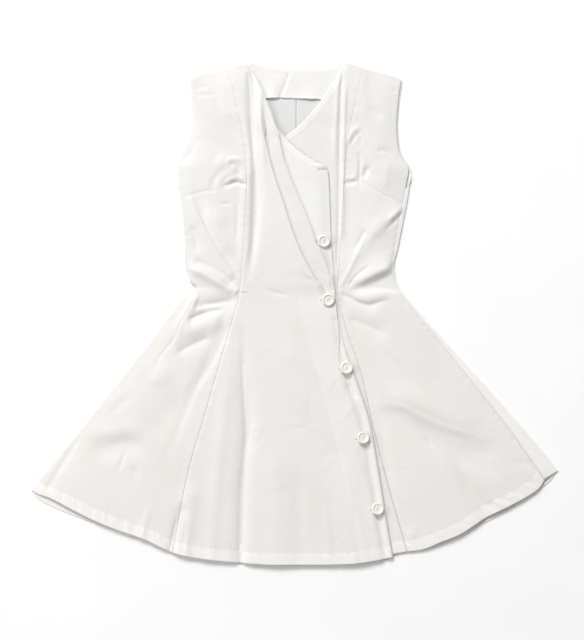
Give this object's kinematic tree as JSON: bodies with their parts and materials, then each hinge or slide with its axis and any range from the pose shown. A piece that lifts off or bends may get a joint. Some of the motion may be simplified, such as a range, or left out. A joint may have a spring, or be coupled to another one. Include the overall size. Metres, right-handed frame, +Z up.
{
  "type": "summer dress",
  "caption": "Sleeveless white cotton wrap-front summer dress with princess seams and a buttoned closing, laid flat on its back.",
  "frame": {"origin": "on the surface that the dress lies on, under the middle of the laid dress", "axes": "+X to the viewer's right across the hem, +Y towards the neck, +Z up from the surface"},
  "size_m": [0.974, 0.926, 0.0193],
  "materials": {
    "cotton_back": "plain-woven white cotton, inner side",
    "cotton_facing": "plain-woven white cotton",
    "cotton_front": "plain-woven white cotton, pressed, a little warm in the skirt",
    "button_plastic": "polished ivory-white plastic"
  },
  "bodies": {
    "root": {"back_left": "cotton_back", "back_right": "cotton_back", "back_neck_facing": "cotton_facing", "side_front_left": "cotton_front", "side_front_right": "cotton_front", "front_over": "cotton_front", "front_under": "cotton_front", "button_1": "button_plastic", "button_2": "button_plastic", "button_3": "button_plastic", "button_4": "button_plastic", "button_5": "button_plastic"}
  },
  "joints": []
}
